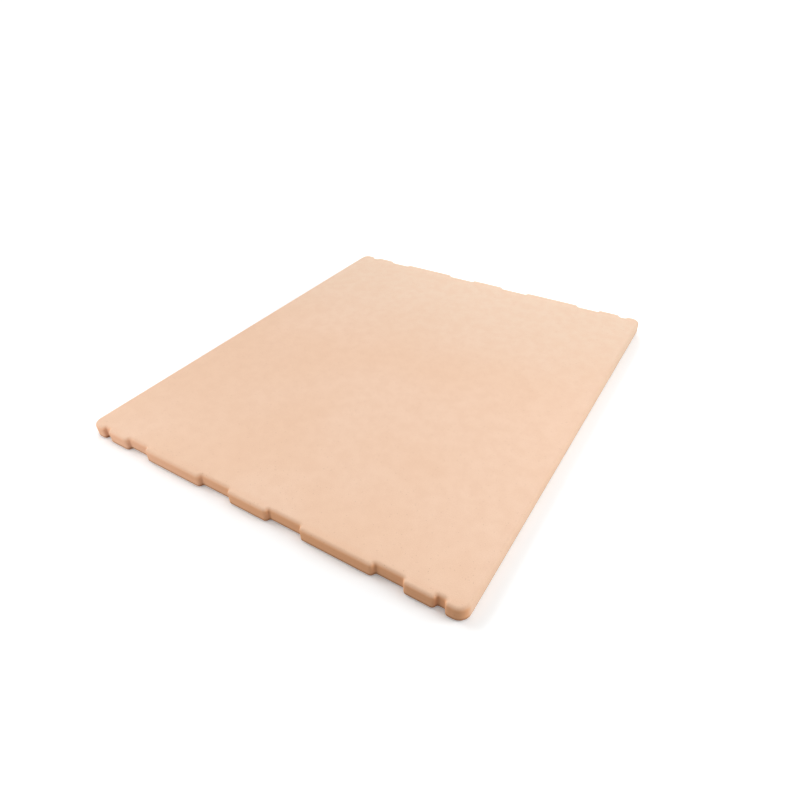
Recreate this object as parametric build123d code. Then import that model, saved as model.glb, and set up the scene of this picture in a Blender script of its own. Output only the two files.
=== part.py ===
"""Rectangular baking stone: one pressed and fired slab of cordierite.

The slab lies flat with its baking face up. X runs across it, along the two notched
edges, Y runs along its plain edges, and the origin is in the middle of its underside.
Lengths are in millimetres.
"""
import os

from build123d import *

# Slab, 14 by 16 inches and half an inch thick
slab_width = 355.6
slab_length = 406.4
slab_thickness = 12.7
slab_corner_radius = 8.7

# Rolled rim of the baking face, its plan radius where it turns into a notch, and the
# small bevel round the underside
top_rim_radius = 2.8
rim_turn_radius = 0.2
base_bevel = 1.5

# Notches in the front and back edges, cut through the whole thickness
notch_depth = 3.5
notch_root_radius = 1.6
inner_notch_floor = 26.9
outer_notch_floor = 19.6
corner_notch_floor = 3.4
notch_overrun = 5.0

# Middles of the notches: the inner ones from the slab's middle, the others from its sides
inner_notch_offset = 34.1
outer_notch_inset = 56.2
corner_notch_inset = 18.2

# A shoulder is two arcs: one bulges out of the slab, with room for the rim, and meets one
# that bulges into it part of the way down
notch_shoulder_radius = top_rim_radius + rim_turn_radius
shoulder_radii = notch_shoulder_radius + notch_root_radius
shoulder_run = (notch_depth * (2 * shoulder_radii - notch_depth)) ** 0.5
shoulder_share = notch_shoulder_radius / shoulder_radii

# Each pair of notches: distance from the slab's middle, and width of the floor
notch_pairs = (
    (inner_notch_offset, inner_notch_floor),
    (slab_width / 2 - outer_notch_inset, outer_notch_floor),
    (slab_width / 2 - corner_notch_inset, corner_notch_floor),
)


def notch_sketch(floor_width):
    """Plan of one notch: its mouth is on the X axis and its floor at y = notch_depth."""
    floor_half = floor_width / 2
    mouth_half = floor_half + shoulder_run
    arcs_meet = (shoulder_run * shoulder_share - mouth_half, notch_depth * shoulder_share)
    edge_arc = TangentArc((-mouth_half, 0), arcs_meet, tangent=(1, 0))
    floor_arc = TangentArc(arcs_meet, (-floor_half, notch_depth), tangent=edge_arc % 1)
    shoulder = Curve() + [edge_arc, floor_arc]
    floor = Line((-floor_half, notch_depth), (floor_half, notch_depth))
    outside = Polyline(
        (-mouth_half, 0),
        (-mouth_half, -notch_overrun),
        (mouth_half, -notch_overrun),
        (mouth_half, 0),
    )
    return make_face([shoulder, floor, mirror(shoulder, Plane.YZ), outside])


def notched_plan():
    """Plan of the slab: a rounded rectangle with the same notches front and back."""
    plan = RectangleRounded(slab_width, slab_length, slab_corner_radius)
    for distance, floor_width in notch_pairs:
        notch = notch_sketch(floor_width)
        for x in (-distance, distance):
            plan -= Pos(x, -slab_length / 2) * notch
            plan -= Pos(x, slab_length / 2) * Rot(Z=180) * notch
    return plan


def baking_stone():
    """The slab with its notches, its rolled rim and its bevelled base."""
    slab = extrude(notched_plan(), slab_thickness)
    slab = fillet(slab.faces().sort_by(Axis.Z)[-1].edges(), top_rim_radius)
    slab = chamfer(slab.faces().sort_by(Axis.Z)[0].edges(), base_bevel)
    return slab


os.makedirs("parts", exist_ok=True)
stone = baking_stone()
stone.label = "baking_stone"
export_step(stone, "parts/baking_stone.step")
size = stone.bounding_box().size
print(f"baking_stone: {size.X:.1f} x {size.Y:.1f} x {size.Z:.1f} mm, {stone.volume / 1000:.0f} cm3")
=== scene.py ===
import math

import bpy
import numpy as np
from mathutils import Matrix, Vector, noise


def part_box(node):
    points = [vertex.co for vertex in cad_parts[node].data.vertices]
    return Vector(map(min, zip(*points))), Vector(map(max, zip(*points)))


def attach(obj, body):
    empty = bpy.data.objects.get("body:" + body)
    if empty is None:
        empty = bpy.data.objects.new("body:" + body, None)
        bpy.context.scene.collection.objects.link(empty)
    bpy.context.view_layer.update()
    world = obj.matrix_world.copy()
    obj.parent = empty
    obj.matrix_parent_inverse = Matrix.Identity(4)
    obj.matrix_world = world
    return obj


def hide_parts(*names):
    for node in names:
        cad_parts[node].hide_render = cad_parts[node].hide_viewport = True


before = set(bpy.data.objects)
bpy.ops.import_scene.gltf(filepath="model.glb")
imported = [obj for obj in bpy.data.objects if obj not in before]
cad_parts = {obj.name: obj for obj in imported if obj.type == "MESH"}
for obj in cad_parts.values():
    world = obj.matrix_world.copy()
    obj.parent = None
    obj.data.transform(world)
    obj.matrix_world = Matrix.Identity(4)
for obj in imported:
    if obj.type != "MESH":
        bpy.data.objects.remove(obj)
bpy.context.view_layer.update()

# Slab sizes in metres: its three extents come from the frame
slab_low, slab_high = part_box("baking_stone")
slab_width = slab_high[0] - slab_low[0]
slab_length = slab_high[1] - slab_low[1]
slab_thickness = slab_high[2] - slab_low[2]
slab_corner_radius = 0.0087
top_rim_radius = 0.0028
rim_turn_radius = 0.0002
base_bevel = 0.0015
bevel_edge_radius = 0.0006

# Notches in the front and back edges
notch_depth = 0.0035
notch_root_radius = 0.0016
inner_notch_floor = 0.0269
outer_notch_floor = 0.0196
corner_notch_floor = 0.0034
inner_notch_offset = 0.0341
outer_notch_inset = 0.0562
corner_notch_inset = 0.0182

# Mesh fineness: steps along the plan's straight runs, along every bend and along the straight
# runs of the rim's section, cells of the two flat faces, and the strip from them to the rim
edge_step = 0.0012
arc_step = 0.0005
rim_step = 0.0008
top_cell = 0.002
base_cell = 0.004
grid_gap = 0.0015

# Unevenness of the pressed body, all of it inwards from the ideal surface. A wave is the
# distance between its humps, its depth and its seed. How level a surface lies goes from 0 where
# it is upright to 1 where it is level. As it nears 1, the waves of the rims and sides fade to
# this share of their depth, and the flat faces have none of them.
face_wave = (0.07, 0.00008, 1)
rim_wave = (0.011, 0.00007, 2)
rim_grain = (0.0024, 0.00004, 3)
rim_fade_share = 0.35
flat_level = 0.999

# Places where the rims lost a grain or two, on surfaces this far level. A nick's depth is this
# share of its radius.
base_nick_count = 14
top_nick_count = 7
nick_level_range = (0.3, 0.9)
nick_radius_range = (0.0005, 0.0013)
nick_depth_share = 0.32
nick_seed = 11

# Tones of the fired body, and of the painted sheen, shade and shadow laid on it, as 0 to 255
# screen values
face_tone = (240, 203, 175)
drifted_tone = (242, 207, 181)
# Painted sheen of grazing light, making the slab paler towards its back
back_sheen_tone = (237, 211, 188)
cloud_tone = (233, 193, 164)
pale_grain_tone = (250, 222, 198)
dark_grain_tone = (214, 168, 132)
speck_tone = (150, 106, 74)
# Painted shade on the notched ends: darker, warmer tones at their left and at their right
end_left_shade_tone = (240, 188, 154)
end_right_shade_tone = (243, 182, 136)
# Painted contact shadow along the foot of the sides, where they meet the floor
base_shadow_tone = (158, 101, 65)
# Painted shade inside the open pores
pore_shade_tone = (176, 130, 96)

# How much of each tone is laid over the ones before it, where it is at its fullest
# Share of the painted sheen at the back
back_sheen_share = 0.8
cloud_share = 0.35
pale_grain_share = 0.35
dark_grain_share = 0.45
speck_share = 0.18
# Painted shade on the notched ends, and its share at the back end
end_shade_share = 0.9
back_end_shade_share = 0.3
# Painted contact shadow, and its share on the long sides
base_shadow_share = 0.9
long_side_shadow_share = 0.3
# Share of the painted shade inside the pores
pore_shade_share = 0.3

# Patterns of noise: humps per metre, detail and roughness, with the part of the noise's range
# over which each tone or gloss fades in
drift_noise = (9.0, 2.0, 0.5)
drift_range = (0.35, 0.65)
cloud_noise = (90.0, 4.0, 0.6)
cloud_range = (0.3, 0.7)
grain_noise = (1500.0, 2.0, 0.7)
pale_grain_range = (0.55, 0.75)
dark_grain_range = (0.45, 0.25)
sand_noise = (1100.0, 3.0, 0.6)
gloss_noise = (300.0, 3.0, 0.5)
gloss_range = (0.3, 0.7)

# Patterns of cells, some of which hold a round spot: cells per metre, the distances from a
# cell's middle over which its spot fades in, and the part of the range of a number drawn for
# each cell over which the cell comes to hold one
speck_fineness = 260.0
speck_edge = (0.13, 0.07)
speck_draw = (0.80, 0.82)
pore_fineness = 420.0
pore_edge = (0.2, 0.08)
pore_draw = (0.72, 0.75)

# Where a tone fades in, from none of it at the first place to all of it at the second. The
# first two are places along the slab, the third is one across it, the next two are distances
# in from an end and down from the baking face, and the last two are heights.
# Where the painted sheen fades in, along the slab
back_sheen_zone = (-0.02, 0.19)
# Where the painted shade on the notched ends fades in
front_end_shade_zone = (0.1, -0.1)
end_right_shade_zone = (-0.15, 0.05)
end_shade_zone = (0.0090, 0.0040)
side_shade_zone = (-0.0006, 0.0026)
# Where the painted contact shadow fades in, down towards the base
base_shadow_zone = (0.0042, 0.0008)
# Above the very base, where the painted shade and shadow fade in
off_base_zone = (0.0002, 0.0012)

# Relief, with a pore's height as a share of the sandy grain's, and gloss
pore_height = -1.3
relief_depth = 0.00015
relief_strength = 0.5
roughness_range = (0.82, 0.95)
specular_level = 0.2

# Camera, solved from the outline of the slab in the photograph: places in metres, angles in
# degrees, lens and sensor in millimetres, and the shift in widths of the frame
camera_target = (0.0308, -0.0227, 0.0)
camera_azimuth = 32.05
camera_elevation = 36.72
camera_roll = -1.21
camera_distance = 0.5345
camera_lens = 26.21
camera_sensor = 36.0
camera_shift = (-0.0151, -0.0026)
camera_nearest = 0.01

# Light. Angles are in degrees, with azimuth 0 in front of the slab and 90 on its right. A far
# soft lamp is its name, azimuth, elevation and strength, and a near fill is its name, place,
# target and power.
far_lamp_spread = 34.0
far_lamps = (
    ("low_right", 90.0, 10.0, 0.75),
    ("low_right_back", 120.0, 10.0, 1.13),
    ("low_left_back", -150.0, 10.0, 1.50),
    ("left_back", -150.0, 35.0, 0.35),
    ("left", -90.0, 35.0, 1.13),
    ("high_right", 120.0, 62.0, 0.52),
)
near_fill_size = (0.25, 0.15)
near_fills = (
    ("fill_left", (-0.30, -0.55, 0.10), (-0.10, -0.20, 0.0), 0.94),
    ("fill_right", (0.50, 0.0, 0.30), (0.17, 0.0, 0.0), 0.44),
    ("fill_back", (0.0, 0.50, 0.20), (0.0, 0.15, 0.0), 0.36),
)
dome_strength = 0.25
plain_white = (1.0, 1.0, 1.0, 1.0)

# Floor: its colour as other surfaces are lit by it and as the camera sees it, and what
# lightens the shade that the camera sees there
floor_half_side = 12.0
floor_colour = (0.38, 0.34, 0.30, 1.0)
floor_white = (1.03, 1.05, 1.06, 1.0)
floor_lift = 0.15


def walk(start, heading, moves, straight_step, bend_step):
    """Points and right-hand normals along a path of straight runs and bends.

    A move is ("run", length) or ("bend", radius, turn), and a positive turn is to the left.
    The place where the path ends comes last, and isn't among the points.
    """
    place = np.array(start, float)
    points, normals = [], []
    for kind, *sizes in moves:
        if kind == "run":
            length = sizes[0]
            count = max(1, math.ceil(length / straight_step))
            ahead = np.array((math.cos(heading), math.sin(heading)))
            side = (math.sin(heading), -math.cos(heading))
            for k in range(count):
                points.append(place + ahead * length * k / count)
                normals.append(side)
            place = place + ahead * length
        else:
            radius, turn = sizes
            count = max(2, math.ceil(abs(turn) * radius / bend_step))
            sign = math.copysign(1, turn)
            centre = place + sign * radius * np.array((-math.sin(heading), math.cos(heading)))
            for k in range(count + 1):
                now = heading + turn * k / count
                side = np.array((math.sin(now), -math.cos(now)))
                if k < count:
                    points.append(centre + sign * radius * side)
                    normals.append(tuple(side))
            place = centre + sign * radius * side
            heading += turn
    return np.array(points), np.array(normals), place


def slab_outline():
    """Plan of the slab, anticlockwise from the left end of the front edge."""
    shoulder = top_rim_radius + rim_turn_radius
    run = math.sqrt(notch_depth * (2 * (shoulder + notch_root_radius) - notch_depth))
    turn = 2 * math.atan2(notch_depth, run)
    half = slab_width / 2
    notches = (
        (inner_notch_offset, inner_notch_floor),
        (half - outer_notch_inset, outer_notch_floor),
        (half - corner_notch_inset, corner_notch_floor),
    )
    row = sorted((side * middle, floor) for middle, floor in notches for side in (-1, 1))
    edge = []
    reached = -half + slab_corner_radius
    for middle, floor in row:
        mouth = floor / 2 + run
        edge.append(("run", middle - mouth - reached))
        edge += [("bend", shoulder, turn), ("bend", notch_root_radius, -turn)]
        edge.append(("run", floor))
        edge += [("bend", notch_root_radius, -turn), ("bend", shoulder, turn)]
        reached = middle + mouth
    edge.append(("run", half - slab_corner_radius - reached))
    corner = ("bend", slab_corner_radius, math.pi / 2)
    side = ("run", slab_length - 2 * slab_corner_radius)
    moves = (edge + [corner, side, corner]) * 2
    start = (-half + slab_corner_radius, -slab_length / 2)
    points, normals, _ = walk(start, 0.0, moves, edge_step, arc_step)
    return points, normals


def rim_profile():
    """Section of the rim as (outward, up) from the base's flat to the baking face."""
    eighth = math.pi / 4
    trim = bevel_edge_radius * math.tan(eighth / 2)
    moves = [
        ("bend", bevel_edge_radius, eighth),
        ("run", base_bevel * math.sqrt(2) - 2 * trim),
        ("bend", bevel_edge_radius, eighth),
        ("run", slab_thickness - top_rim_radius - base_bevel - trim),
        ("bend", top_rim_radius, 2 * eighth),
    ]
    start = (-base_bevel - trim, 0.0)
    points, normals, place = walk(start, 0.0, moves, rim_step, arc_step)
    return np.vstack([points, place]), np.vstack([normals, (0.0, 1.0)])


def zipper(outer, inner, places):
    """Triangles between two closed rings of vertices that run the same way round."""
    near = np.linalg.norm(places[inner] - places[outer[0]], axis=1).argmin()
    inner = np.roll(inner, -near)
    faces = []
    i = j = 0
    while i < len(outer) or j < len(inner):
        a, b = outer[i % len(outer)], inner[j % len(inner)]
        next_a, next_b = outer[(i + 1) % len(outer)], inner[(j + 1) % len(inner)]
        across_a = np.linalg.norm(places[next_a] - places[b])
        across_b = np.linalg.norm(places[next_b] - places[a])
        if j >= len(inner) or (i < len(outer) and across_a <= across_b):
            faces.append((a, next_a, b))
            i += 1
        else:
            faces.append((a, next_b, b))
            j += 1
    return faces


def face_grid(halves, cell, height, first):
    """A flat grid of nearly square cells: vertices, quads and its border, anticlockwise.

    The first vertex has the given number.
    """
    counts = [max(2, round(2 * half / cell)) for half in halves]
    xs, ys = (np.linspace(-half, half, count + 1) for half, count in zip(halves, counts))
    places = np.array([(x, y, height) for y in ys for x in xs])
    index = first + np.arange(len(places)).reshape(len(ys), len(xs))
    quads = [
        (index[row, i], index[row, i + 1], index[row + 1, i + 1], index[row + 1, i])
        for row in range(counts[1])
        for i in range(counts[0])
    ]
    sides = [index[0, :-1], index[:-1, -1], index[-1, :0:-1], index[:0:-1, 0]]
    return places, quads, np.concatenate(sides)


def slab_surface():
    """The whole surface of the slab: vertices, their outward normals and faces."""
    plan, plan_normals = slab_outline()
    section, section_normals = rim_profile()
    columns, rows = len(plan), len(section)
    places = np.zeros((rows, columns, 3))
    normals = np.zeros((rows, columns, 3))
    for row in range(rows):
        out, up = section[row]
        places[row, :, :2] = plan + plan_normals * out
        places[row, :, 2] = up
        normals[row, :, :2] = plan_normals * section_normals[row][0]
        normals[row, :, 2] = section_normals[row][1]
    faces = []
    for row in range(rows - 1):
        low, high = row * columns, (row + 1) * columns
        for i in range(columns):
            j = (i + 1) % columns
            faces.append((low + i, low + j, high + j, high + i))
    places, normals = places.reshape(-1, 3), normals.reshape(-1, 3)

    # The base's flat and the baking face, each from its ring of the rim inwards
    flats = ((0, base_cell, 0.0, -1.0), (rows - 1, top_cell, slab_thickness, 1.0))
    for row, cell, height, up in flats:
        inset = -section[row][0] + grid_gap
        halves = (slab_width / 2 - inset, slab_length / 2 - notch_depth - inset)
        grid, quads, border = face_grid(halves, cell, height, len(places))
        places = np.vstack([places, grid])
        normals = np.vstack([normals, np.tile((0.0, 0.0, up), (len(grid), 1))])
        ring = row * columns + np.arange(columns)
        flat = quads + zipper(ring, border, places)
        faces += flat if up > 0 else [face[::-1] for face in flat]
    return places, normals, faces


def wave(place, length, depth, seed):
    """Smooth noise between 0 and the depth, with the given distance between its humps."""
    shifted = Vector(place) / length + Vector((seed, 2 * seed, 3 * seed))
    return depth * (0.5 + 0.5 * noise.noise(shifted))


def nick_places(places, normals):
    """Where the rims lost a grain or two: middles on the surface, with their radii."""
    draw = np.random.default_rng(nick_seed)
    level = np.abs(normals[:, 2])
    least, most = nick_level_range
    slanted = np.flatnonzero((level > least) & (level < most))
    base_rim = slanted[places[slanted, 2] < slab_thickness / 2]
    top_rim = slanted[places[slanted, 2] > slab_thickness / 2]
    drawn = [draw.choice(base_rim, base_nick_count), draw.choice(top_rim, top_nick_count)]
    return [(places[k], draw.uniform(*nick_radius_range)) for k in np.concatenate(drawn)]


def roughened(places, normals):
    """The same vertices drawn in by the unevenness of a pressed and fired body."""
    level = np.abs(normals[:, 2])
    rim_share = rim_fade_share + (1 - rim_fade_share) * (1 - level)
    depth = np.zeros(len(places))
    for k, place in enumerate(places):
        depth[k] = wave(place, *face_wave)
        if level[k] <= flat_level:
            depth[k] += (wave(place, *rim_wave) + wave(place, *rim_grain)) * rim_share[k]
    for middle, radius in nick_places(places, normals):
        away = np.linalg.norm(places - middle, axis=1) / radius
        bowl = np.clip(1 - away**2, 0, 1) ** 2
        depth += bowl * radius * nick_depth_share
    return places - normals * depth[:, None]


def add_object(name, data):
    """A new object in the scene that holds the given data."""
    added = bpy.data.objects.new(name, data)
    bpy.context.collection.objects.link(added)
    return added


def make_slab():
    places, normals, faces = slab_surface()
    mesh = bpy.data.meshes.new("slab_body")
    corners = [tuple(map(int, face)) for face in faces]
    mesh.from_pydata(roughened(places, normals).tolist(), [], corners)
    mesh.update()
    mesh.shade_smooth()
    return add_object("slab_body", mesh)


class Nodes:
    """Short way to add and join shader nodes."""

    def __init__(self, name, tree=None):
        if tree is None:
            self.material = bpy.data.materials.new(name)
            self.material.use_nodes = True
            tree = self.material.node_tree
        self.tree = tree
        self.tree.nodes.clear()

    def add(self, kind, inputs=None, **settings):
        node = self.tree.nodes.new(kind)
        for key, value in settings.items():
            setattr(node, key, value)
        for key, value in (inputs or {}).items():
            if isinstance(value, bpy.types.NodeSocket):
                self.tree.links.new(value, node.inputs[key])
            else:
                node.inputs[key].default_value = value
        return node

    def calculate(self, operation, *values):
        inputs = dict(enumerate(values))
        return self.add("ShaderNodeMath", inputs, operation=operation).outputs[0]

    def times(self, a, b):
        return self.calculate("MULTIPLY", a, b)

    def plus(self, a, b):
        return self.calculate("ADD", a, b)

    def ramp(self, value, low, high, out_low=0.0, out_high=1.0):
        """A smooth step from out_low to out_high as the value goes from low to high."""
        inputs = {
            "Value": value,
            "From Min": low,
            "From Max": high,
            "To Min": out_low,
            "To Max": out_high,
        }
        node = self.add("ShaderNodeMapRange", inputs, interpolation_type="SMOOTHSTEP")
        return node.outputs["Result"]

    def mix(self, share, a, b):
        """Colour a with the given share of colour b laid over it."""
        colour_inputs = {0: share, 6: a, 7: b}
        return self.add("ShaderNodeMix", colour_inputs, data_type="RGBA").outputs[2]

    def noise(self, at, scale, detail, roughness):
        inputs = {"Vector": at, "Scale": scale, "Detail": detail, "Roughness": roughness}
        return self.add("ShaderNodeTexNoise", inputs).outputs["Fac"]

    def cells(self, at, scale):
        """The distance to the nearest cell's middle, and two numbers drawn for that cell."""
        cells = self.add("ShaderNodeTexVoronoi", {"Vector": at, "Scale": scale}).outputs
        drawn = self.add("ShaderNodeSeparateColor", {"Color": cells["Color"]}).outputs
        return cells["Distance"], drawn[0], drawn[1]

    def mix_shaders(self, share, a, b):
        return self.add("ShaderNodeMixShader", {0: share, 1: a, 2: b}).outputs[0]

    def seen(self):
        """1 for the rays by which the camera sees a surface, in gloss and glass too, or else 0."""
        path = self.add("ShaderNodeLightPath").outputs
        direct = self.plus(path["Is Camera Ray"], path["Is Glossy Ray"])
        return self.plus(direct, path["Is Transmission Ray"])


def linear(tone):
    """The shader's linear colour for a tone given as 0 to 255 screen values."""
    shares = (value / 255 for value in tone)
    parts = [v / 12.92 if v <= 0.04045 else ((v + 0.055) / 1.055) ** 2.4 for v in shares]
    return (*parts, 1.0)


def face_colour(nodes, at, split):
    """Slow drift of tone and cloudiness of a few millimetres, with a painted sheen that makes the
    face paler towards the back.
    """
    drift = nodes.ramp(nodes.noise(at, *drift_noise), *drift_range)
    tone = nodes.mix(drift, linear(face_tone), linear(drifted_tone))
    # Painted sheen: the face turns paler towards the back
    back = nodes.ramp(split["Y"], *back_sheen_zone, 0.0, back_sheen_share)
    tone = nodes.mix(back, tone, linear(back_sheen_tone))
    cloud = nodes.ramp(nodes.noise(at, *cloud_noise), *cloud_range, 0.0, cloud_share)
    return nodes.mix(cloud, tone, linear(cloud_tone))


def with_grains(nodes, at, tone):
    """The tone with grains of the fired body, pale and dark, and sparse iron specks."""
    grain = nodes.noise(at, *grain_noise)
    pale = nodes.ramp(grain, *pale_grain_range, 0.0, pale_grain_share)
    tone = nodes.mix(pale, tone, linear(pale_grain_tone))
    dark = nodes.ramp(grain, *dark_grain_range, 0.0, dark_grain_share)
    tone = nodes.mix(dark, tone, linear(dark_grain_tone))
    distance, drawn, _ = nodes.cells(at, speck_fineness)
    speck = nodes.times(nodes.ramp(distance, *speck_edge), nodes.ramp(drawn, *speck_draw))
    return nodes.mix(nodes.times(speck, speck_share), tone, linear(speck_tone))


def with_painted_shade(nodes, split, tone):
    """The tone with painted shade on the notched ends, darker and warmer than the faces.

    The front end gets more of the painted shade than the back one, and a painted contact
    shadow along the foot of the sides, most on the ends, makes both darkest just above the base.
    """
    height = split["Z"]
    # The painted shade on the ends fades in down from the baking face and out just above the base
    side_start, side_full = side_shade_zone
    side = nodes.ramp(height, slab_thickness - side_start, slab_thickness - side_full)
    off_base = nodes.ramp(height, *off_base_zone)

    # Painted shade on the notched ends, less on the back end, in tones that change from left to
    # right
    end_start, end_full = end_shade_zone
    along = nodes.calculate("ABSOLUTE", split["Y"])
    end = nodes.ramp(along, slab_length / 2 - end_start, slab_length / 2 - end_full)
    end = nodes.times(end, nodes.ramp(split["Y"], *front_end_shade_zone, back_end_shade_share, 1.0))
    across = nodes.ramp(split["X"], *end_right_shade_zone)
    shade_colour = nodes.mix(across, linear(end_left_shade_tone), linear(end_right_shade_tone))
    shade_amount = nodes.times(nodes.times(side, end), nodes.times(off_base, end_shade_share))
    tone = nodes.mix(shade_amount, tone, shade_colour)

    # Painted contact shadow: darker towards the base, weaker on the long sides
    base_shadow = nodes.ramp(height, *base_shadow_zone, 0.0, base_shadow_share)
    base_shadow = nodes.times(base_shadow, off_base)
    base_shadow = nodes.times(base_shadow, nodes.ramp(end, 0.0, 1.0, long_side_shadow_share, 1.0))
    return nodes.mix(base_shadow, tone, linear(base_shadow_tone))


def cordierite():
    """Matt fired ceramic with a fine sandy grain and open pores, darkened inside by painted shade.
    """
    nodes = Nodes("fired_cordierite")
    at = nodes.add("ShaderNodeTexCoord").outputs["Object"]
    split = nodes.add("ShaderNodeSeparateXYZ", {"Vector": at}).outputs
    tone = face_colour(nodes, at, split)
    tone = with_grains(nodes, at, tone)
    # Painted shade on the notched ends and a painted contact shadow along the foot of the sides
    tone = with_painted_shade(nodes, split, tone)

    distance, _, drawn = nodes.cells(at, pore_fineness)
    pore = nodes.times(nodes.ramp(distance, *pore_edge), nodes.ramp(drawn, *pore_draw))
    # Painted shade darkens the inside of the pores
    tone = nodes.mix(nodes.times(pore, pore_shade_share), tone, linear(pore_shade_tone))
    relief = nodes.plus(nodes.noise(at, *sand_noise), nodes.times(pore, pore_height))
    relief_inputs = {"Height": relief, "Strength": relief_strength, "Distance": relief_depth}
    bump = nodes.add("ShaderNodeBump", relief_inputs)

    roughness = nodes.ramp(nodes.noise(at, *gloss_noise), *gloss_range, *roughness_range)
    inputs = {
        "Base Color": tone,
        "Roughness": roughness,
        "Normal": bump.outputs["Normal"],
        "Specular IOR Level": specular_level,
    }
    shader = nodes.add("ShaderNodeBsdfPrincipled", inputs)
    nodes.add("ShaderNodeOutputMaterial", {"Surface": shader.outputs[0]})
    return nodes.material


def floor_material():
    """Pale floor that keeps the slab's shadow, and reads as a white ground from the camera."""
    nodes = Nodes("white_floor")
    pale = nodes.add("ShaderNodeBsdfDiffuse", {"Color": floor_colour}).outputs[0]
    white = nodes.add("ShaderNodeBsdfDiffuse", {"Color": floor_white}).outputs[0]
    lift_inputs = {"Color": plain_white, "Strength": floor_lift}
    lift = nodes.add("ShaderNodeEmission", lift_inputs).outputs[0]
    lifted = nodes.add("ShaderNodeAddShader", {0: white, 1: lift}).outputs[0]
    shader = nodes.mix_shaders(nodes.seen(), pale, lifted)
    nodes.add("ShaderNodeOutputMaterial", {"Surface": shader})
    return nodes.material


def make_floor():
    mesh = bpy.data.meshes.new("floor")
    low, high = -floor_half_side, floor_half_side
    corners = [(low, low, 0), (high, low, 0), (high, high, 0), (low, high, 0)]
    mesh.from_pydata(corners, [], [(0, 1, 2, 3)])
    mesh.materials.append(floor_material())
    add_object("floor", mesh)


def make_world():
    """Even pale light, and plain white from the camera and in reflections."""
    world = bpy.data.worlds.new("studio")
    world.use_nodes = True
    nodes = Nodes("studio", world.node_tree)
    dome, white = (
        nodes.add("ShaderNodeBackground", {"Color": plain_white, "Strength": strength}).outputs[0]
        for strength in (dome_strength, 1.0)
    )
    shader = nodes.mix_shaders(nodes.seen(), dome, white)
    nodes.add("ShaderNodeOutputWorld", {"Surface": shader})
    bpy.context.scene.world = world


def direction(azimuth, elevation):
    """Unit vector: azimuth 0 is towards -Y, in front of the slab, and 90 towards +X."""
    around, rise = math.radians(azimuth), math.radians(elevation)
    reach = math.cos(rise)
    return Vector((math.sin(around) * reach, -math.cos(around) * reach, math.sin(rise)))


def add_far_lamp(name, azimuth, elevation, strength):
    """A far soft lamp."""
    lamp = bpy.data.lights.new(name, "SUN")
    lamp.angle = math.radians(far_lamp_spread)
    lamp.energy = strength
    facing = direction(azimuth, elevation).to_track_quat("Z", "Y")
    add_object(name, lamp).rotation_euler = facing.to_euler()


def add_near_fill(name, place, target, power):
    """A near soft lamp, which no camera sees."""
    lamp = bpy.data.lights.new(name, "AREA")
    lamp.shape = "RECTANGLE"
    lamp.size, lamp.size_y = near_fill_size
    lamp.energy = power
    fill = add_object(name, lamp)
    fill.location = place
    fill.rotation_euler = (Vector(target) - Vector(place)).to_track_quat("-Z", "Y").to_euler()
    fill.visible_camera = False


def make_camera():
    azimuth, roll = math.radians(camera_azimuth), math.radians(camera_roll)
    back = direction(camera_azimuth, camera_elevation)
    level = Vector((math.cos(azimuth), math.sin(azimuth), 0.0))
    above = back.cross(level)
    right = level * math.cos(roll) + above * math.sin(roll)
    up = above * math.cos(roll) - level * math.sin(roll)
    turned = Matrix((right, up, back)).transposed().to_4x4()
    data = bpy.data.cameras.new("camera")
    data.sensor_width = camera_sensor
    data.lens = camera_lens
    data.shift_x, data.shift_y = camera_shift
    data.clip_start = camera_nearest
    camera = add_object("camera", data)
    place = Vector(camera_target) + back * camera_distance
    camera.matrix_world = Matrix.Translation(place) @ turned
    bpy.context.scene.camera = camera


slab = make_slab()
slab.data.materials.append(cordierite())
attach(slab, "root")
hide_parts("baking_stone")

make_floor()
make_world()
for lamp in far_lamps:
    add_far_lamp(*lamp)
for lamp in near_fills:
    add_near_fill(*lamp)
make_camera()
bpy.context.scene.view_settings.view_transform = "Standard"
